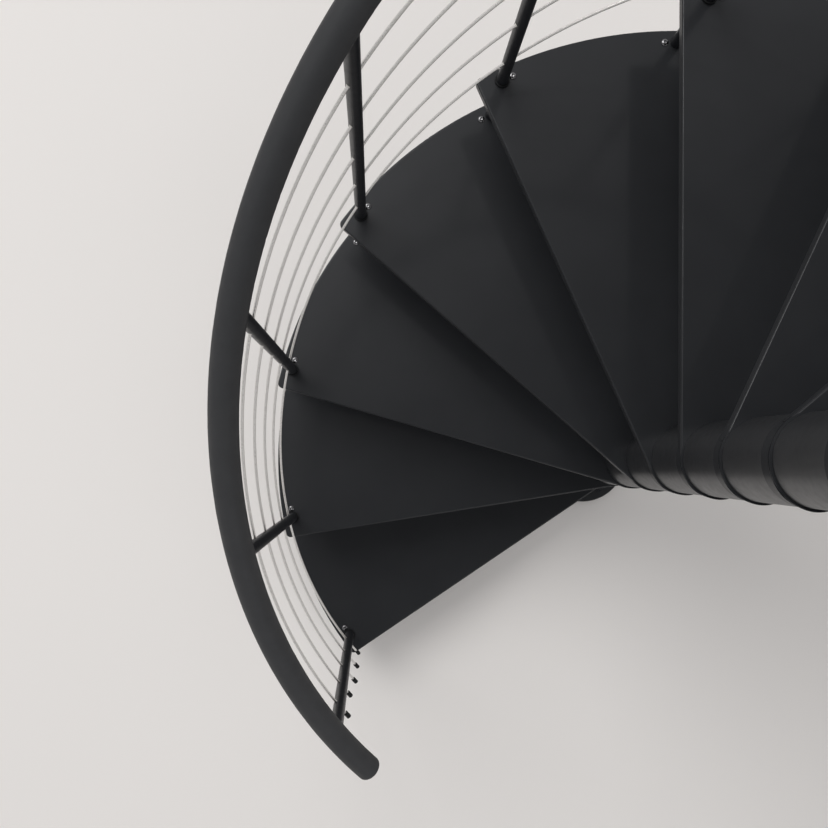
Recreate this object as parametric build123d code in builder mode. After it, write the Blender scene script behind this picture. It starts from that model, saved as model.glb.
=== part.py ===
from build123d import *
from math import cos, degrees, hypot, radians, sin, sqrt
import os

# Spiral staircase: pressed steel treads threaded on a centre pole, round balusters bolted
# through their outer corners, five bent steel rods and a round handrail.
# Millimetres, +Z up. The origin is on the floor, on the axis of the pole.
# The stair climbs clockwise seen from above.

# --- the flight -----------------------------------------------------------------------
TREADS = 12                # steps below the landing
RISE = 200.0               # tread top to tread top
STEP_ANGLE = 24.9          # turn from one tread to the next, degrees
FIRST_ANGLE = 213.7        # direction of the first front edge, degrees from +X
TREAD_RADIUS = 800.0       # pole axis to the outer edge
LANDING_SWEEP = 60.0       # angle that the landing covers, degrees

# --- tread: a pan of folded sheet with a hub ------------------------------------------
SHEET = 4.0                # thickness of the sheet
FLANGE = 18.0              # depth of the folded edges
HUB_HEIGHT = 40.0          # hub tube welded under the pan
BEND_RADIUS = 3.0          # outside radius of the folds
CORNER_RADIUS = 10.0       # rounding of the outer corners, in plan
EYE_LIP = 3.0              # sheet past the spacer, all round the pole; the front edge is tangent to it
REAR_LAP = 75.0            # how far each tread reaches back under the next one
LANDING_FLANGE = 60.0      # depth of the landing's edges and hub
FIXING_HOLES = 4           # holes in the landing's far edge, for the bolts into the upper floor
FIXING_SPACING = 180.0
FIXING_HOLE = 11.0
FIXING_DEPTH = 34.0        # below the landing's top
RIB_THICKNESS = 5.0        # stiffener welded under each pan, from the hub to the rim
RIB_DEPTH = 14.0
RIB_GAP = 12.0             # from the rib's end to the rim's fold

# --- column ---------------------------------------------------------------------------
POLE_DIAMETER = 76.0
POLE_WALL = 4.0
SPACER_DIAMETER = 126.0    # tubes between the treads' hubs
SPACER_WALL = 5.0
POLE_ABOVE = 130.0         # pole above the landing
BASE_DIAMETER = 240.0      # floor flange
BASE_THICKNESS = 12.0
BASE_BOLTS = 6
BASE_BOLT_CIRCLE = 186.0
BASE_BOLT_HOLE = 14.0
CAP_HEIGHT = 22.0          # domed cap on the pole
CAP_ROUNDING = 18.0
CAP_LIP = 3.0              # cap past the pole's wall

# --- balustrade -----------------------------------------------------------------------
BALUSTER_DIAMETER = 22.0
BALUSTER_INSET = 23.0      # treads' outer edge to the balusters' and rods' centre line
BALUSTER_LEAD = 1.5        # degrees from a tread's front direction to its baluster
BALUSTER_BELOW = 22.0      # how far a baluster passes below the lower tread's top
BOLT_OFFSET = 21.5         # clamp bolt to baluster, centre to centre
BOLT_HOLE = 8.4
CLAMP_WALL = 4.0           # of the clamp round its baluster
CLAMP_HEIGHT = 14.0
COLLAR_WIDTH = 3.0         # ring round a baluster's foot on its own tread
COLLAR_HEIGHT = 6.0
FOOT_DIAMETER = 60.0       # floor foot under the first baluster
FOOT_THICKNESS = 8.0
RODS = 5
ROD_DIAMETER = 5.0
ROD_SPACING = 170.0        # one rod to the next, upright
FIRST_ROD = 104.0          # lowest rod above the tread
ROD_TAILS = (46.0, 46.0, 44.0, 30.0, 30.0)   # rods past the first baluster, hand cut
ROD_CAP_DIAMETER = 9.0
ROD_CAP_LENGTH = 12.0
ROD_CAP_END = 3.0          # solid end of a cap
RAIL_DIAMETER = 42.4
RAIL_HEIGHT = 989.0        # tread top to the rail's centre line, at a baluster
RAIL_START = 6.0           # degrees past the first baluster
RAIL_END = 6.0             # degrees past the last baluster
RAIL_SPARE = 1.0           # degrees bent on past that end and sawn off square
RAIL_CAP_LENGTH = 12.0     # plastic plug on each end of the rail
RAIL_ROUNDING = 7.0        # softened edge of the plugs
ARCS_PER_BAY = 6           # arcs that bend a rod or the rail from one baluster to the next
FIT = 0.3                  # clearance between pieces that slide together

EYE_RADIUS = SPACER_DIAMETER / 2 + EYE_LIP   # edge of the sheet round the pole
BALUSTER_CIRCLE = TREAD_RADIUS - BALUSTER_INSET
LEVELS = TREADS + 1                          # the landing is one step more
HEAD = LEVELS * RISE                         # floor to landing
SLOPE = RISE / radians(STEP_ANGLE)           # climb per radian of turn


def tread_plane(level):
    """Top of a tread: X runs out along its front edge, Z up."""
    turn = FIRST_ANGLE - (level - 1) * STEP_ANGLE
    return Plane.XY.offset(level * RISE).rotated((0, 0, turn))


def polar(radius, angle):
    """A point in a tread's plane, from radius and degrees."""
    return (radius * cos(radians(angle)), radius * sin(radians(angle)))


def line_point(angle, offset, radius):
    """Where a straight edge, parallel to the direction angle and offset to its left, meets a circle."""
    along = sqrt(radius**2 - offset**2)
    a = radians(angle)
    return (along * cos(a) - offset * sin(a), along * sin(a) + offset * cos(a))


REAR_OFFSET = EYE_RADIUS - REAR_LAP          # rear edge, offset from the pole's axis
BALUSTER_STEP = degrees(BOLT_OFFSET / BALUSTER_CIRCLE)


def pan_outline(sweep, inset):
    """Wedge between the front edge, the outer arc and the rear edge, closed at the pole's axis."""
    front = EYE_RADIUS - inset
    rear = REAR_OFFSET + inset
    rim = TREAD_RADIUS - inset
    corner = CORNER_RADIUS - inset
    with BuildSketch() as outline:
        with BuildLine():
            tangent = (0, front)
            outer_front = line_point(0, front, rim)
            outer_rear = line_point(-sweep, rear, rim)
            middle = polar(rim, -sweep / 2)
            inner_rear = line_point(-sweep, rear, EYE_RADIUS)
            Line(tangent, outer_front)
            ThreePointArc(outer_front, middle, outer_rear)
            Line(outer_rear, inner_rear)
            Line(inner_rear, (0, 0))
            Line((0, 0), tangent)
        make_face()
        far = outline.vertices().sort_by(lambda v: hypot(v.X, v.Y))[-2:]
        fillet(far, corner)
    return outline.sketch


def make_tread(level, sweep, flange, hub_height, rear_clamp):
    """One pressed tread: folded pan, eye, hub and rib, with holes for pole, balusters and bolts."""
    top = tread_plane(level)
    outer = pan_outline(sweep, 0)
    inner = pan_outline(sweep, SHEET)
    baluster_holes = [polar(BALUSTER_CIRCLE, BALUSTER_LEAD)]
    bolt_holes = [polar(BALUSTER_CIRCLE, BALUSTER_LEAD - BALUSTER_STEP)]
    if rear_clamp:
        baluster_holes.append(polar(BALUSTER_CIRCLE, BALUSTER_LEAD - STEP_ANGLE))
        bolt_holes.append(polar(BALUSTER_CIRCLE, BALUSTER_LEAD - STEP_ANGLE + BALUSTER_STEP))
    with BuildPart(top) as tread:
        with BuildSketch(top):
            add(outer)
        extrude(amount=-flange)
        rim = tread.faces().sort_by(Axis.Z)[-1].outer_wire().edges()
        folds = rim.filter_by(lambda edge: edge.distance_to(top.origin) > 1)
        fillet(folds, BEND_RADIUS)
        with BuildSketch(top.offset(-SHEET)):
            add(inner)
        extrude(amount=SHEET - flange, mode=Mode.SUBTRACT)
        with BuildSketch(top):
            Circle(EYE_RADIUS)
        extrude(amount=-SHEET)
        with BuildSketch(top):
            Circle(SPACER_DIAMETER / 2)
        extrude(amount=-hub_height)
        with BuildSketch(top.offset(-SHEET).rotated((0, 0, -sweep / 2))):
            rib_length = TREAD_RADIUS - SHEET - RIB_GAP
            with Locations((rib_length / 2, 0)):
                Rectangle(rib_length, RIB_THICKNESS)
        extrude(amount=-RIB_DEPTH)
        Hole(POLE_DIAMETER / 2 + FIT)
        with Locations(*baluster_holes):
            Hole(BALUSTER_DIAMETER / 2 + FIT)
        with Locations(*bolt_holes):
            Hole(BOLT_HOLE / 2)
    return tread.part


def helix_plane(up, height):
    """Plane across the balustrade's helix, Z climbing along it, up degrees past the first baluster."""
    turn = radians(FIRST_ANGLE + BALUSTER_LEAD - up)
    centre = (BALUSTER_CIRCLE * cos(turn), BALUSTER_CIRCLE * sin(turn), RISE + height + SLOPE * radians(up))
    climb = (BALUSTER_CIRCLE * sin(turn), -BALUSTER_CIRCLE * cos(turn), SLOPE)
    return Plane(origin=centre, x_dir=(cos(turn), sin(turn), 0), z_dir=climb)


def helix_bar(start, stop, height, diameter):
    """A round bar on the balustrade's helix, between two angles measured up from the first baluster.

    It is bent in plain arcs, each through three points of the helix and too short to leave it."""
    halves = 2 * ARCS_PER_BAY * LEVELS
    points = [helix_plane(start + (stop - start) * i / halves, height).origin for i in range(halves + 1)]
    with BuildPart() as bar:
        with BuildLine() as path:
            for i in range(0, halves, 2):
                ThreePointArc(points[i], points[i + 1], points[i + 2])
        with BuildSketch(helix_plane(start, height)):
            Circle(diameter / 2)
        sweep(path=path.wire())
    return bar.part


def clamp_block(level, angle, bolt_angle):
    """Block under a tread that grips a baluster beside its bolt."""
    under = tread_plane(level).offset(-SHEET)
    middle = polar(BALUSTER_CIRCLE, (angle + bolt_angle) / 2)
    with BuildPart(under) as clamp:
        with BuildSketch(under):
            with Locations(Location((*middle, 0), (0, 0, 90 + (angle + bolt_angle) / 2))):
                SlotCenterToCenter(BOLT_OFFSET, BALUSTER_DIAMETER + 2 * CLAMP_WALL)
        extrude(amount=-CLAMP_HEIGHT)
        with Locations(polar(BALUSTER_CIRCLE, angle)):
            Hole(BALUSTER_DIAMETER / 2 + FIT)
        with Locations(polar(BALUSTER_CIRCLE, bolt_angle)):
            Hole(BOLT_HOLE / 2)
    return clamp.part


os.makedirs("parts", exist_ok=True)

# --- floor flange and pole ------------------------------------------------------------
with BuildPart() as base_plate:
    with BuildSketch():
        Circle(BASE_DIAMETER / 2)
    extrude(amount=BASE_THICKNESS)
    chamfer(base_plate.edges().group_by(Axis.Z)[-1], 2)
    with PolarLocations(BASE_BOLT_CIRCLE / 2, BASE_BOLTS):
        Hole(BASE_BOLT_HOLE / 2)
base_plate.part.label = "base_plate"
export_step(base_plate.part, "parts/base_plate.step")

pole_length = HEAD + POLE_ABOVE - BASE_THICKNESS
with BuildPart() as centre_pole:
    with BuildSketch(Plane.XY.offset(BASE_THICKNESS)):
        Circle(POLE_DIAMETER / 2)
        Circle(POLE_DIAMETER / 2 - POLE_WALL, mode=Mode.SUBTRACT)
    extrude(amount=pole_length)
centre_pole.part.label = "centre_pole"
export_step(centre_pole.part, "parts/centre_pole.step")

with BuildPart() as pole_cap:
    with BuildSketch(Plane.XY.offset(HEAD + POLE_ABOVE)):
        Circle(POLE_DIAMETER / 2 + CAP_LIP)
    extrude(amount=CAP_HEIGHT)
    fillet(pole_cap.edges().group_by(Axis.Z)[-1], CAP_ROUNDING)
pole_cap.part.label = "pole_cap"
export_step(pole_cap.part, "parts/pole_cap.step")

# --- spacers: one under each hub, seated face to face ----------------------------------
with BuildPart() as spacers:
    for level in range(1, LEVELS + 1):
        hub_height = LANDING_FLANGE if level == LEVELS else HUB_HEIGHT
        low = BASE_THICKNESS if level == 1 else (level - 1) * RISE
        with BuildSketch(Plane.XY.offset(low)):
            Circle(SPACER_DIAMETER / 2)
            Circle(SPACER_DIAMETER / 2 - SPACER_WALL, mode=Mode.SUBTRACT)
        extrude(amount=level * RISE - hub_height - low)
spacers.part.label = "spacers"
export_step(spacers.part, "parts/spacers.step")

# --- treads and landing ---------------------------------------------------------------
for level in range(1, LEVELS):
    tread = make_tread(level, STEP_ANGLE, FLANGE, HUB_HEIGHT, True)
    tread.label = f"tread_{level:02d}"
    export_step(tread, f"parts/tread_{level:02d}.step")

far_turn = radians(FIRST_ANGLE - TREADS * STEP_ANGLE - LANDING_SWEEP)
far_out = (sin(far_turn), -cos(far_turn), 0)
far_middle = Vector(cos(far_turn), sin(far_turn), 0) * (TREAD_RADIUS + SPACER_DIAMETER / 2) / 2
far_edge = Plane(far_middle - Vector(*far_out) * REAR_OFFSET + Vector(0, 0, HEAD - FIXING_DEPTH),
                 x_dir=(cos(far_turn), sin(far_turn), 0), z_dir=far_out)
with BuildPart() as landing:
    add(make_tread(LEVELS, LANDING_SWEEP, LANDING_FLANGE, LANDING_FLANGE, False))
    with BuildSketch(far_edge):
        with GridLocations(FIXING_SPACING, 1, FIXING_HOLES, 1):
            Circle(FIXING_HOLE / 2)
    extrude(amount=-2 * SHEET, mode=Mode.SUBTRACT)
landing.part.label = "landing"
export_step(landing.part, "parts/landing.step")

# --- balusters ------------------------------------------------------------------------
# Each one runs from under the rear corner of one tread, through the front corner of the
# next, up into the rail. The first stands on a foot on the floor.
for level in range(1, LEVELS + 1):
    up = (level - 1) * STEP_ANGLE
    bottom = (level - 1) * RISE - BALUSTER_BELOW if level > 1 else FOOT_THICKNESS
    top = level * RISE + RAIL_HEIGHT
    foot_plane = tread_plane(level).offset(bottom - level * RISE)
    with BuildPart() as baluster:
        with BuildSketch(foot_plane):
            with Locations(polar(BALUSTER_CIRCLE, BALUSTER_LEAD)):
                Circle(BALUSTER_DIAMETER / 2)
        extrude(amount=top - bottom)
        for rod in range(RODS):
            with BuildSketch(helix_plane(up, FIRST_ROD + rod * ROD_SPACING)):
                Circle(ROD_DIAMETER / 2 + FIT)
            extrude(amount=BALUSTER_DIAMETER, both=True, mode=Mode.SUBTRACT)
    baluster.part.label = f"baluster_{level:02d}"
    export_step(baluster.part, f"parts/baluster_{level:02d}.step")

with BuildPart() as baluster_foot:
    with BuildSketch(tread_plane(1).offset(-RISE)):
        with Locations(polar(BALUSTER_CIRCLE, BALUSTER_LEAD)):
            Circle(FOOT_DIAMETER / 2)
    extrude(amount=FOOT_THICKNESS)
    chamfer(baluster_foot.edges().group_by(Axis.Z)[-1], 2)
baluster_foot.part.label = "baluster_foot"
export_step(baluster_foot.part, "parts/baluster_foot.step")

with BuildPart() as collars:
    for level in range(1, LEVELS + 1):
        with BuildSketch(tread_plane(level)):
            with Locations(polar(BALUSTER_CIRCLE, BALUSTER_LEAD)):
                Circle(BALUSTER_DIAMETER / 2 + COLLAR_WIDTH)
                Circle(BALUSTER_DIAMETER / 2 + FIT, mode=Mode.SUBTRACT)
        extrude(amount=COLLAR_HEIGHT)
collars.part.label = "collars"
export_step(collars.part, "parts/collars.step")

front_clamps = [clamp_block(level, BALUSTER_LEAD, BALUSTER_LEAD - BALUSTER_STEP)
                for level in range(1, LEVELS + 1)]
with BuildPart() as clamps_front:
    add(front_clamps)
clamps_front.part.label = "clamps_front"
export_step(clamps_front.part, "parts/clamps_front.step")

rear_angle = BALUSTER_LEAD - STEP_ANGLE
rear_clamps = [clamp_block(level, rear_angle, rear_angle + BALUSTER_STEP) for level in range(1, LEVELS)]
with BuildPart() as clamps_rear:
    add(rear_clamps)
clamps_rear.part.label = "clamps_rear"
export_step(clamps_rear.part, "parts/clamps_rear.step")

# --- rods and their end caps ----------------------------------------------------------
flight = TREADS * STEP_ANGLE
rod_ends = []
for rod in range(RODS):
    height = FIRST_ROD + rod * ROD_SPACING
    tail = degrees(ROD_TAILS[rod] / hypot(BALUSTER_CIRCLE, SLOPE))
    bar = helix_bar(-tail, flight + tail, height, ROD_DIAMETER)
    bar.label = f"rod_{rod + 1}"
    export_step(bar, f"parts/rod_{rod + 1}.step")
    rod_ends.append((helix_plane(-tail, height), 1))
    rod_ends.append((helix_plane(flight + tail, height), -1))

with BuildPart() as rod_caps:
    for plane, inward in rod_ends:
        with BuildSketch(plane.offset(-inward * ROD_CAP_END)):
            Circle(ROD_CAP_DIAMETER / 2)
        extrude(amount=inward * ROD_CAP_LENGTH)
        with BuildSketch(plane):
            Circle(ROD_DIAMETER / 2 + FIT)
        extrude(amount=inward * ROD_CAP_LENGTH, mode=Mode.SUBTRACT)
rod_caps.part.label = "rod_caps"
export_step(rod_caps.part, "parts/rod_caps.step")

# --- handrail, sawn off where its plug seats and bored from below for the balusters ---
with BuildPart() as handrail:
    add(helix_bar(-RAIL_START, flight + RAIL_END + RAIL_SPARE, RAIL_HEIGHT, RAIL_DIAMETER))
    with BuildSketch(helix_plane(flight + RAIL_END, RAIL_HEIGHT)):
        Circle(RAIL_DIAMETER)
    extrude(amount=2 * BALUSTER_CIRCLE * radians(RAIL_SPARE), mode=Mode.SUBTRACT)
    for level in range(1, LEVELS + 1):
        with BuildSketch(tread_plane(level).offset(RAIL_HEIGHT)):
            with Locations(polar(BALUSTER_CIRCLE, BALUSTER_LEAD)):
                Circle(BALUSTER_DIAMETER / 2 + FIT)
        extrude(amount=-RAIL_DIAMETER, mode=Mode.SUBTRACT)
handrail.part.label = "handrail"
export_step(handrail.part, "parts/handrail.step")

with BuildPart() as rail_caps:
    for angle, outward in ((-RAIL_START, -1), (flight + RAIL_END, 1)):
        with BuildSketch(helix_plane(angle, RAIL_HEIGHT)):
            Circle(RAIL_DIAMETER / 2)
        extrude(amount=outward * RAIL_CAP_LENGTH)
    for cap in rail_caps.solids():
        far = cap.edges().filter_by(GeomType.CIRCLE).sort_by(lambda e: (e @ 0).Z)
        fillet(far[0] if cap.center().Z < HEAD / 2 else far[-1], RAIL_ROUNDING)
rail_caps.part.label = "rail_caps"
export_step(rail_caps.part, "parts/rail_caps.step")
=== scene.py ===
from math import pi, radians

import bmesh
import bpy
import numpy as np
from mathutils import Euler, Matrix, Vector


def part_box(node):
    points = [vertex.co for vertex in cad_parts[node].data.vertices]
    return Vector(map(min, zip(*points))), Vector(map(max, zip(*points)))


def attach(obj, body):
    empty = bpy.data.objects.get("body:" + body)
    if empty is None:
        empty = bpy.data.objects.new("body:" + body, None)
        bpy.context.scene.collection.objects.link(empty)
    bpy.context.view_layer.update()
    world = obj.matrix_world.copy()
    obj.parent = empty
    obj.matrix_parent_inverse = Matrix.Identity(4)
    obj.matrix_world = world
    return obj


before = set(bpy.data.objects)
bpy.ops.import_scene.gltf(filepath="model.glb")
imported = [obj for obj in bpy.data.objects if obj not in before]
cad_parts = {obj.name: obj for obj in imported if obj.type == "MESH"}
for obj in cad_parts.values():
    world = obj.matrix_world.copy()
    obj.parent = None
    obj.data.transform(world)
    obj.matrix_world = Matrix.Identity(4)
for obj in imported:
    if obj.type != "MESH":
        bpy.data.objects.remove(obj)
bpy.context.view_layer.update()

# ---------------------------------------------------------------------------------------
# Tools for colours, shader nodes, materials and meshes.
MM = 0.001
NOISE_SPAN = (0.3, 0.7)    # where most of a noise's values lie
SHARP_EDGE = 35.0          # degrees between faces from which their edge is shaded sharp
MERGE = 0.001 * MM         # points nearer than this become one


def linear(tone):
    """An sRGB hex value as linear red, green, blue and alpha: the sRGB curve, undone."""
    srgb = np.array([int(tone[i:i + 2], 16) for i in (1, 3, 5)]) / 255
    return (*np.where(srgb > 0.04045, ((srgb + 0.055) / 1.055) ** 2.4, srgb / 12.92), 1.0)


def add_node(tree, kind, links=None, **settings):
    """One shader node: settings name its properties or, as numbers or words, its sockets."""
    made = tree.nodes.new(kind)
    for key, value in settings.items():
        if hasattr(made, key):
            setattr(made, key, value)
        else:
            made.inputs[key.replace("_", " ")].default_value = value
    for socket, source in (links or {}).items():
        tree.links.new(source, made.inputs[socket])
    return made


def blank(name, **inputs):
    """A new material with its node tree and its shader, whose inputs are set by their names."""
    material = bpy.data.materials.new(name)
    material.use_nodes = True
    shader = material.node_tree.nodes["Principled BSDF"]
    for key, value in inputs.items():
        shader.inputs[key.replace("_", " ")].default_value = value
    return material, material.node_tree, shader


def surfaces(name, points):
    """One mesh of grids of points: copies x rows x columns x 3, the columns closed to a ring.

    Each quad joins a point to its next in both directions. Doubles are merged, as where a
    profile meets the axis or ends where it began."""
    index = np.arange(points[..., 0].size).reshape(points.shape[:3])
    across = np.roll(index, -1, axis=2)
    quads = np.stack([index[:, :-1], across[:, :-1], across[:, 1:], index[:, 1:]], axis=-1)
    mesh = bpy.data.meshes.new(name)
    mesh.from_pydata(points.reshape(-1, 3).tolist(), [], quads.reshape(-1, 4).tolist())
    shell = bmesh.new()
    shell.from_mesh(mesh)
    bmesh.ops.remove_doubles(shell, verts=shell.verts, dist=MERGE)
    bmesh.ops.recalc_face_normals(shell, faces=shell.faces)
    shell.to_mesh(mesh)
    shell.free()
    mesh.shade_smooth()
    mesh.set_sharp_from_angle(angle=radians(SHARP_EDGE))
    piece = bpy.data.objects.new(name, mesh)
    bpy.context.scene.collection.objects.link(piece)
    return piece


def noise(tree, size, **settings):
    """Noise over the piece, in its own coordinates, with its largest swings size mm apart."""
    where = add_node(tree, "ShaderNodeTexCoord").outputs["Object"]
    return add_node(tree, "ShaderNodeTexNoise", {"Vector": where}, Scale=1000 / size,
                    **settings).outputs["Fac"]


def roughen(tree, swing, rough, less, more):
    """Lets the shader's roughness swing about a value, by so much less and so much more."""
    spread = add_node(tree, "ShaderNodeMapRange", {"Value": swing}, From_Min=NOISE_SPAN[0],
                      From_Max=NOISE_SPAN[1], To_Min=rough - less, To_Max=rough + more)
    tree.links.new(spread.outputs["Result"], tree.nodes["Principled BSDF"].inputs["Roughness"])


def emboss(tree, swing, depth):
    """Gives the surface a fine relief, depth metres deep."""
    bump = add_node(tree, "ShaderNodeBump", {"Height": swing}, Distance=depth, Strength=1.0)
    tree.links.new(bump.outputs["Normal"], tree.nodes["Principled BSDF"].inputs["Normal"])


# ---------------------------------------------------------------------------------------
# The view: from just over the handrail of the upper treads, looking almost straight down
# the flight, as a person on the floor above would see it.
VIEW_PLACE = Vector((-0.5713, 0.0060, 2.9617))
VIEW_TILT = Euler((radians(2.2298), radians(-2.0908), radians(-0.0407)))
LENS_MM = 46.8
SENSOR_MM = 36.0

camera = bpy.data.objects.new("camera", bpy.data.cameras.new("camera"))
bpy.context.scene.collection.objects.link(camera)
bpy.context.scene.camera = camera
camera.data.sensor_width = SENSOR_MM
camera.data.lens = LENS_MM
camera.data.clip_start = 0.02
camera.location = VIEW_PLACE
camera.rotation_euler = VIEW_TILT

# ---------------------------------------------------------------------------------------
# The studio: a plain pale floor that the stair stands on, a pale surround that is dimmer
# overhead on the pole's side, as under a ceiling, and two lamps as wide as a window, high on
# the open side of the flight and weaker opposite, so that neither glares in the dark coat.
FLOOR_SIZE = 600.0
FLOOR_TONE = "#E9E5E1"
SURROUND_TONE = "#F1F1F3"
SURROUND_STRENGTH = 0.74
DIM_SHARE = 0.8            # of the surround's light that is missing overhead
DIM_SIDE = (0.53, -0.85)   # the side on which it is missing, in plan
DIM_EDGE = (-0.16, 0.06)   # how far to that side it starts to go and has gone, as a sine
DIM_HEIGHT = (0.72, 0.9)   # the same upwards
LAMP_SIZE = 5.0

floor_mesh = bpy.data.meshes.new("studio_floor")
reach = FLOOR_SIZE / 2
floor_mesh.from_pydata([(-reach, -reach, 0), (reach, -reach, 0), (reach, reach, 0), (-reach, reach, 0)],
                       [], [(0, 1, 2, 3)])
floor = bpy.data.objects.new("studio_floor", floor_mesh)
bpy.context.scene.collection.objects.link(floor)
floor_mesh.materials.append(blank("studio_floor_paint", Base_Color=linear(FLOOR_TONE), Roughness=0.7)[0])

world = bpy.data.worlds.new("studio")
world.use_nodes = True
bpy.context.scene.world = world
surround = world.node_tree
background = surround.nodes["Background"]
background.inputs["Color"].default_value = linear(SURROUND_TONE)
ray = add_node(surround, "ShaderNodeTexCoord").outputs["Generated"]
sideways = add_node(surround, "ShaderNodeVectorMath", {0: ray}, operation="DOT_PRODUCT")
sideways.inputs[1].default_value = (*DIM_SIDE, 0)
upwards = add_node(surround, "ShaderNodeSeparateXYZ", {"Vector": ray})
shaded, overhead = [
    add_node(surround, "ShaderNodeMapRange", {"Value": measure}, interpolation_type="SMOOTHSTEP",
             From_Min=start, From_Max=stop, To_Min=0.0, To_Max=1.0).outputs["Result"]
    for measure, (start, stop) in ((sideways.outputs["Value"], DIM_EDGE),
                                   (upwards.outputs["Z"], DIM_HEIGHT))]
both = add_node(surround, "ShaderNodeMath", {0: shaded, 1: overhead}, operation="MULTIPLY")
strength = add_node(surround, "ShaderNodeMapRange", {"Value": both.outputs["Value"]},
                    From_Min=0.0, From_Max=1.0, To_Min=SURROUND_STRENGTH,
                    To_Max=SURROUND_STRENGTH * (1 - DIM_SHARE))
surround.links.new(strength.outputs["Result"], background.inputs["Strength"])

for name, place, aim, watts in (
        ("key", (-2.9, 3.6, 7.4), (0, 0, 1.2), 300),
        ("fill", (2.6, -4.6, 8.0), (0, 0, 1.0), 80)):
    lamp = bpy.data.lights.new(name, "AREA")
    lamp.shape = "DISK"
    lamp.size = LAMP_SIZE
    lamp.energy = watts
    holder = bpy.data.objects.new(name, lamp)
    holder.location = place
    holder.rotation_euler = (Vector(aim) - Vector(place)).to_track_quat("-Z", "Y").to_euler()
    bpy.context.scene.collection.objects.link(holder)

bpy.context.scene.view_settings.view_transform = "Standard"

# ---------------------------------------------------------------------------------------
# Floor flange, pole and sleeves: turned steel plate and tube, powder coated satin black
# after welding. The sleeves slip over the pole between the treads' hubs.
RISE = 200 * MM
TREADS = 12
LEVELS = TREADS + 1        # the landing is the last
STEP_ANGLE = 24.9          # degrees from one tread to the next, clockwise from above
FIRST_FRONT = 213.7        # where the first tread's front edge points, in degrees
COAT_PEEL_MM = 1.8         # one dimple of the sprayed coat
COAT_CLOUD_MM = 90.0       # slow change of thickness over the coat
COAT_RUB_MM = 14.0         # patches a little duller or brighter
FLOWED_ROUGHNESS = 0.13    # of the film where it has flowed out smooth
FOLD_TURN = (0.7, 0.98)    # upward share of the normal, on a fold and where the flat face starts
CLOUD_SPAN = (0.26, 0.74)  # the noise's values at which the film is thickest and thinnest


def powder_coat(name, tone, pale, rough, peel=0.02 * MM, wear=0.04, gloss=0.5, skin=0.0, on_folds=1.0):
    """Baked polyester powder on steel: a satin film with fine dimples, a little thicker here
    and there. Tone is its colour, pale the colour where the film is thin, gloss how much the
    grained film mirrors and skin how much of it has flowed out smooth. It draws back from folds
    and edges, where on_folds is the share of both that is left."""
    material, tree, shader = blank(name, Coat_Roughness=FLOWED_ROUGHNESS, Specular_IOR_Level=gloss,
                                   Coat_Weight=skin)
    if on_folds < 1:
        normal = add_node(tree, "ShaderNodeNewGeometry").outputs["Normal"]
        upward = add_node(tree, "ShaderNodeSeparateXYZ", {"Vector": normal}).outputs["Z"]
        for socket, most in (("Specular IOR Level", gloss), ("Coat Weight", skin)):
            level = add_node(tree, "ShaderNodeMapRange", {"Value": upward}, From_Min=FOLD_TURN[0],
                             From_Max=FOLD_TURN[1], To_Min=most * on_folds, To_Max=most)
            tree.links.new(level.outputs["Result"], shader.inputs[socket])
    ramp = add_node(tree, "ShaderNodeValToRGB",
                    {"Fac": noise(tree, COAT_CLOUD_MM, Detail=3.0, Roughness=0.55)})
    for stop, position, colour in zip(ramp.color_ramp.elements, CLOUD_SPAN, (tone, pale)):
        stop.position = position
        stop.color = linear(colour)
    tree.links.new(ramp.outputs["Color"], shader.inputs["Base Color"])
    roughen(tree, noise(tree, COAT_RUB_MM, Detail=5.0, Roughness=0.6), rough, wear, wear)
    emboss(tree, noise(tree, COAT_PEEL_MM, Detail=1.0), peel)
    return material


def dress(material, *nodes):
    """Gives CAD nodes their material."""
    for node in nodes:
        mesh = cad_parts[node].data
        mesh.materials.clear()
        mesh.materials.append(material)


column_coat = powder_coat("powder_coated_steel_satin_column", "#1B1C1E", "#202123", 0.36)
dress(column_coat, "base_plate", "centre_pole", "spacers")


def turned(profile, sides, hexes=None):
    """A grid of rings: each profile point (radius, height) carried round the axis.

    Where hexes is 1 the ring is a hexagon, its radius divided by the cosine of the angle
    from the middle of the nearest flat; between 0 and 1 it is partly so."""
    profile = np.asarray(profile, float)
    turn = np.linspace(0, 2 * pi, sides, endpoint=False)
    flat = 1 / np.cos((turn + pi / 6) % (pi / 3) - pi / 6)
    share = np.zeros(len(profile)) if hexes is None else np.asarray(hexes, float)
    radius = profile[:, :1] * (1 + share[:, None] * (flat - 1))
    height = np.repeat(profile[:, 1:], sides, axis=1)
    return np.stack([radius * np.cos(turn), radius * np.sin(turn), height], axis=-1)


def placed(shape, origins, turns):
    """Copies of a grid, each turned about the upright axis by an angle and then moved."""
    c, s = np.cos(turns), np.sin(turns)
    spin = np.zeros((len(turns), 3, 3))
    spin[:, 0, 0], spin[:, 0, 1], spin[:, 1, 0], spin[:, 1, 1], spin[:, 2, 2] = c, -s, s, c, 1
    return np.einsum("rcj,nij->nrci", shape, spin) + np.asarray(origins)[:, None, None, :]


# Floor anchors: six M12 studs with washers and hexagon nuts, black zinc plated to match the
# coat, tightened on the flange after it is levelled.
ANCHOR_CIRCLE = 93 * MM
ANCHORS = 6
ANCHOR_RADIUS = 6 * MM
ANCHOR_END = 19 * MM             # the stud's top above the flange
ANCHOR_WASHER = 2.5 * MM
ANCHOR_SPIN = 0.3                # how far the nuts are turned against the studs
FLANGE_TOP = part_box("base_plate")[1].z
SCRATCH_MM = 0.9


def plated_steel(name, tone, rough):
    """Plated or stainless steel: bare metal with fine random scratches."""
    material, tree, _ = blank(name, Metallic=1.0, Base_Color=linear(tone))
    roughen(tree, noise(tree, SCRATCH_MM, Detail=4.0), rough, less=0.06, more=0.08)
    return material


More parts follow.
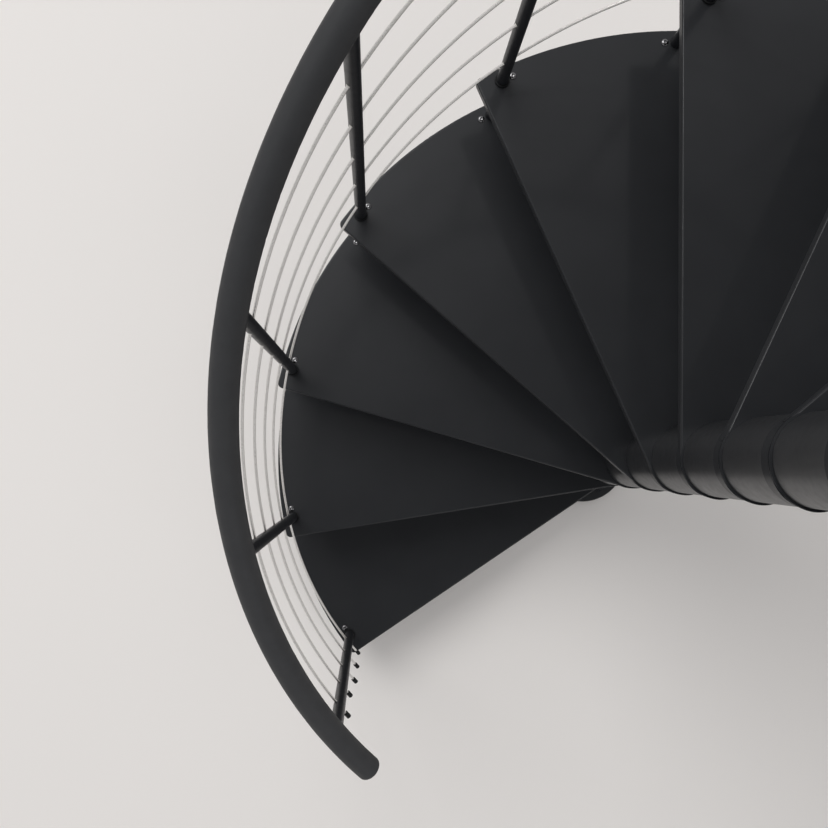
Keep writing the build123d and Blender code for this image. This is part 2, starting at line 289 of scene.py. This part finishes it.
zinc = plated_steel("black_zinc_plated_steel_satin", "#38393C", 0.38)
anchor_turns = radians(360 / ANCHORS) * np.arange(ANCHORS)
anchor_places = np.stack([ANCHOR_CIRCLE * np.cos(anchor_turns), ANCHOR_CIRCLE * np.sin(anchor_turns),
                          np.full(ANCHORS, FLANGE_TOP)], axis=-1)


def washer(inner, outer, thick, low=0.0):
    """Profile of a flat ring with eased edges, from radii and thickness."""
    ease = thick * 0.2
    return [(inner, low), (outer - ease, low), (outer, low + ease), (outer, low + thick - ease),
            (outer - ease, low + thick), (inner, low + thick), (inner, low)]


def nut(bore, flats, thick, low):
    """Profile and hexagon shares of a nut, its corners chamfered at both faces to a circle."""
    half, rim, chamfer = flats / 2, flats * 0.48, thick * 0.1
    profile = [(bore, low), (rim, low), (half, low + chamfer), (half, low + thick / 2),
               (half, low + thick - chamfer), (rim, low + thick), (bore, low + thick), (bore, low)]
    return profile, [0, 0.15, 1, 1, 1, 0.15, 0, 0]


def stud(radius, low, high):
    """Profile of a thread end: ridges one pitch apart, a chamfer at the top, closed on the axis."""
    pitch, root, tip = radius * 0.3, radius * 0.91, radius * 0.8
    rows = np.arange(low, high - pitch, pitch / 2)
    ridges = [(radius if i % 2 else root, row) for i, row in enumerate(rows)]
    return [(0, low), *ridges, (tip, high), (0, high)]


anchor_washers = surfaces("anchor_washers", placed(turned(washer(7 * MM, 12 * MM, ANCHOR_WASHER), 40),
                                                   anchor_places, anchor_turns))
nut_profile, nut_shares = nut(ANCHOR_RADIUS, 19 * MM, 10 * MM, ANCHOR_WASHER)
anchor_nuts = surfaces("anchor_nuts", placed(turned(nut_profile, 48, nut_shares), anchor_places,
                                             anchor_turns + ANCHOR_SPIN))
anchor_studs = surfaces("anchor_studs", placed(turned(stud(ANCHOR_RADIUS, 0, ANCHOR_END), 32),
                                               anchor_places, anchor_turns))
for piece in (anchor_washers, anchor_nuts, anchor_studs):
    piece.data.materials.append(zinc)
    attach(piece, "root")

# ---------------------------------------------------------------------------------------
# Treads and landing: 4 mm sheet, pressed to a pan with its edges turned down, welded to a
# hub, then powder coated almost black. The coat has flowed out smooth on the flat faces.
tread_coat = powder_coat("powder_coated_steel_satin_treads", "#242527", "#27282A", 0.36,
                         peel=0.008 * MM, wear=0.02, gloss=0.14, skin=0.3, on_folds=0.5)
dress(tread_coat, "landing", *[f"tread_{i:02d}" for i in range(1, LEVELS)])

# Weld beads between each pan and its hub, laid from below by hand, so each has ripples.
HUB_RADIUS = 63 * MM
BEAD = 4 * MM
BEAD_SPIN = 0.7                  # each bead starts this far round from the one below
FUSED = 0.2 * MM                 # how deep the bead is run into the steel
TOE = 0.12                       # radians its section goes on beyond a quarter round
RIPPLE = 3.2 * MM
RIPPLE_SHARE = 0.1               # of the bead's size
PAN_SHEET = 4 * MM


def weld_bead(radius, size, sides=5, rings=132):
    """A convex fillet round the hub: a quarter-round section whose size swings by the ripple."""
    turn = np.linspace(0, 2 * pi, rings, endpoint=False)
    swell = size * (1 + RIPPLE_SHARE * np.sin(turn * round(2 * pi * radius / RIPPLE)))
    slant = np.linspace(-TOE, pi / 2 + TOE, sides)
    out = radius + np.outer(np.cos(slant), swell) - FUSED
    down = FUSED - np.outer(np.sin(slant), swell)
    back = np.full((1, rings), radius - 2 * FUSED)
    top = np.full((1, rings), 2 * FUSED)
    out = np.vstack([back, out, back, back])
    down = np.vstack([top, down, -swell[None] * 0.9, top])
    return np.stack([out * np.cos(turn), out * np.sin(turn), down], axis=-1)


levels = np.arange(1, LEVELS + 1)
hub_places = np.stack([0 * levels, 0 * levels, levels * RISE - PAN_SHEET], axis=-1)
hub_welds = surfaces("hub_weld_beads", placed(weld_bead(HUB_RADIUS, BEAD), hub_places,
                                              levels * BEAD_SPIN))
hub_welds.data.materials.append(tread_coat)
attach(hub_welds, "root")

# ---------------------------------------------------------------------------------------
# Balusters and floor foot: drawn steel tube in satin black powder coat, with a moulded nylon
# collar over the hole that each baluster passes through. The caps of the pole and of the
# rods are of the same nylon.
POLYMER_IOR = 1.53
NYLON_GRAIN_MM = 0.6
GRAIN_DEPTH = 0.03 * MM
post_coat = powder_coat("powder_coated_steel_satin_balusters", "#1A1B1E", "#1F2023", 0.4, gloss=0.22)
dress(post_coat, "baluster_foot", *[f"baluster_{i:02d}" for i in range(1, LEVELS + 1)])


def nylon(name, tone, rough, gloss=0.5):
    """Moulded polyamide: matt and even, with the fine spark-eroded grain of its mould."""
    material, tree, shader = blank(name, Roughness=rough, IOR=POLYMER_IOR, Specular_IOR_Level=gloss)
    grain = noise(tree, NYLON_GRAIN_MM, Detail=2.0)
    ramp = add_node(tree, "ShaderNodeMix", {"Factor": grain}, data_type="RGBA")
    ramp.inputs["A"].default_value = linear(tone)
    ramp.inputs["B"].default_value = [min(1.0, 1.25 * v) for v in linear(tone)]
    tree.links.new(ramp.outputs["Result"], shader.inputs["Base Color"])
    emboss(tree, grain, GRAIN_DEPTH)
    return material


black_nylon = nylon("moulded_nylon_black", "#090A0B", 0.6, gloss=0.25)
dress(black_nylon, "collars", "rod_caps", "pole_cap")

# ---------------------------------------------------------------------------------------
# Clamps under the treads, in the same coat as the column, and the M8 button-head screws
# that draw them tight: stainless, with a hexagon socket, washer and nut below.
dress(column_coat, "clamps_front", "clamps_rear")
BALUSTER_CIRCLE = 777 * MM
BALUSTER_LEAD = 1.5              # degrees from a tread's front edge on to its baluster
BOLT_OFFSET = 21.5 * MM          # between a baluster and a screw, along the circle
HEAD_RADIUS = 7.0 * MM
HEAD_HEIGHT = 4.4 * MM
SOCKET_FLATS = 5.0 * MM
DOME_TURN = 1.08                 # radians of the ellipse from the rim to the socket's edge
BOLT_RADIUS = 4 * MM
BOLT_END = 11.5 * MM             # the thread's end below the clamp
BOLT_WASHER = 1.6 * MM
BOLT_NUT = 6.8 * MM
BOLT_SPIN = 0.37                 # each screw is turned this much further than the last
CLAMP_UNDERSIDE = -18 * MM

bolt_step = np.degrees(BOLT_OFFSET / BALUSTER_CIRCLE)
fronts = FIRST_FRONT - (levels - 1) * STEP_ANGLE
front_bolts = np.radians(fronts + BALUSTER_LEAD - bolt_step)
rear_bolts = np.radians(fronts[:-1] + BALUSTER_LEAD - STEP_ANGLE + bolt_step)
bolt_turns = np.concatenate([front_bolts, rear_bolts])
bolt_heights = np.concatenate([levels, levels[:-1]]) * RISE
bolt_places = np.stack([BALUSTER_CIRCLE * np.cos(bolt_turns), BALUSTER_CIRCLE * np.sin(bolt_turns),
                        bolt_heights], axis=-1)


def button_head(radius, height, flats):
    """Profile and hexagon shares of a domed head: an ellipse from its rim to the socket's edge,
    then down the six-sided socket to its floor."""
    slope = np.linspace(0, DOME_TURN, 9)
    dome = [(radius * np.cos(a), height * (0.2 + 0.8 * np.sin(a))) for a in slope]
    edge = dome[-1][1]
    socket = [(flats * 0.53, edge), (flats * 0.5, edge - 0.3 * MM), (flats * 0.5, edge - 2.4 * MM),
              (0, edge - 3.0 * MM)]
    profile = [(0, 0), (radius * 0.97, 0), (radius, height * 0.08)] + dome + socket
    return profile, [0] * (3 + len(dome)) + [1, 1, 1, 0]


stainless = plated_steel("stainless_steel_fastener_polished", "#7A797A", 0.16)
head_profile, head_shares = button_head(HEAD_RADIUS, HEAD_HEIGHT, SOCKET_FLATS)
bolt_spins = bolt_turns + BOLT_SPIN * np.arange(len(bolt_turns))
bolt_heads = surfaces("clamp_screw_heads", placed(turned(head_profile, 48, head_shares), bolt_places,
                                                  bolt_spins))
below = bolt_places + [0, 0, CLAMP_UNDERSIDE]
low_ring = washer(4.2 * MM, 8 * MM, BOLT_WASHER, -BOLT_WASHER)
low_washers = surfaces("clamp_washers", placed(turned(low_ring, 36), below, bolt_spins))
low_profile, low_shares = nut(BOLT_RADIUS, 13 * MM, BOLT_NUT, -BOLT_WASHER - BOLT_NUT)
low_nuts = surfaces("clamp_nuts", placed(turned(low_profile, 48, low_shares), below, bolt_spins))
shank = [(radius, -height) for radius, height in stud(BOLT_RADIUS, 0, BOLT_END)]
low_studs = surfaces("clamp_screw_ends", placed(turned(shank, 24), below, bolt_spins))
for piece in (bolt_heads, low_washers, low_nuts, low_studs):
    piece.data.materials.append(stainless)
    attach(piece, "root")

# ---------------------------------------------------------------------------------------
# Rods: 5 mm drawn stainless bar, bent to the stair's curve and threaded through every
# baluster. Black nylon caps close their cut ends.
RODS = 5
ROD_SPACING = 170 * MM
FIRST_ROD = 104 * MM             # the lowest rod above the tread
SLOPE = RISE / radians(STEP_ANGLE)
BALUSTER_RADIUS = 11 * MM
rod_steel = plated_steel("stainless_steel_drawn_bar", "#DCD9D5", 0.28)
dress(rod_steel, *[f"rod_{i}" for i in range(1, RODS + 1)])

# Bushes: pale nylon sleeves pressed into both sides of each baluster, so that a rod doesn't
# rattle in its hole.
BUSH_BORE = 2.6 * MM
BUSH_RADIUS = 3.7 * MM
BUSH_START = BALUSTER_RADIUS - 3 * MM
BUSH_FACE = BALUSTER_RADIUS + 1 * MM
post_turns = np.repeat(np.radians(fronts + BALUSTER_LEAD), RODS)
rod_heights = (np.repeat(levels * RISE, RODS) + FIRST_ROD
               + np.tile(np.arange(RODS), LEVELS) * ROD_SPACING)
bush_profile = [(BUSH_BORE, BUSH_START), (BUSH_RADIUS - 0.8 * MM, BUSH_START),
                (BUSH_RADIUS - 0.5 * MM, BUSH_START + 2 * MM), (BUSH_RADIUS, BALUSTER_RADIUS),
                (BUSH_RADIUS, BALUSTER_RADIUS + 0.3 * MM), (BUSH_RADIUS * 0.86, BUSH_FACE),
                (BUSH_BORE + 0.15 * MM, BUSH_FACE), (BUSH_BORE, BUSH_START)]
bush = turned(bush_profile, 20)
outward = np.stack([np.cos(post_turns), np.sin(post_turns), 0 * post_turns], axis=-1)
centres = BALUSTER_CIRCLE * outward
centres[:, 2] = rod_heights
uphill = np.stack([BALUSTER_CIRCLE * outward[:, 1], -BALUSTER_CIRCLE * outward[:, 0],
                   np.full(len(outward), SLOPE)], axis=-1)
uphill /= np.linalg.norm(uphill, axis=1, keepdims=True)
bush_copies = []
for along in (uphill, -uphill):
    axes = np.stack([outward, np.cross(along, outward), along], axis=-1)
    bush_copies.append(np.einsum("rcj,nij->nrci", bush, axes) + centres[:, None, None, :])
bushes = surfaces("rod_bushes", np.concatenate(bush_copies))
bushes.data.materials.append(nylon("moulded_nylon_natural", "#C9C7C0", 0.45))
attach(bushes, "root")

# ---------------------------------------------------------------------------------------
# Handrail: a steel tube in a matt black vinyl sleeve, drawn on hot, with a rounded vinyl
# plug in each end.
BLOOM_MM = 30.0
VINYL_GRAIN_MM = 0.8


def vinyl(name, tone, rough):
    """Extruded soft PVC: an even matt skin, duller where it blooms, with a fine grain."""
    material, tree, _ = blank(name, Base_Color=linear(tone), IOR=POLYMER_IOR)
    roughen(tree, noise(tree, BLOOM_MM, Detail=6.0, Roughness=0.65), rough, less=0.05, more=0.07)
    emboss(tree, noise(tree, VINYL_GRAIN_MM, Detail=2.0), GRAIN_DEPTH)
    return material


dress(vinyl("extruded_vinyl_matt_black", "#252628", 0.62), "handrail", "rail_caps")
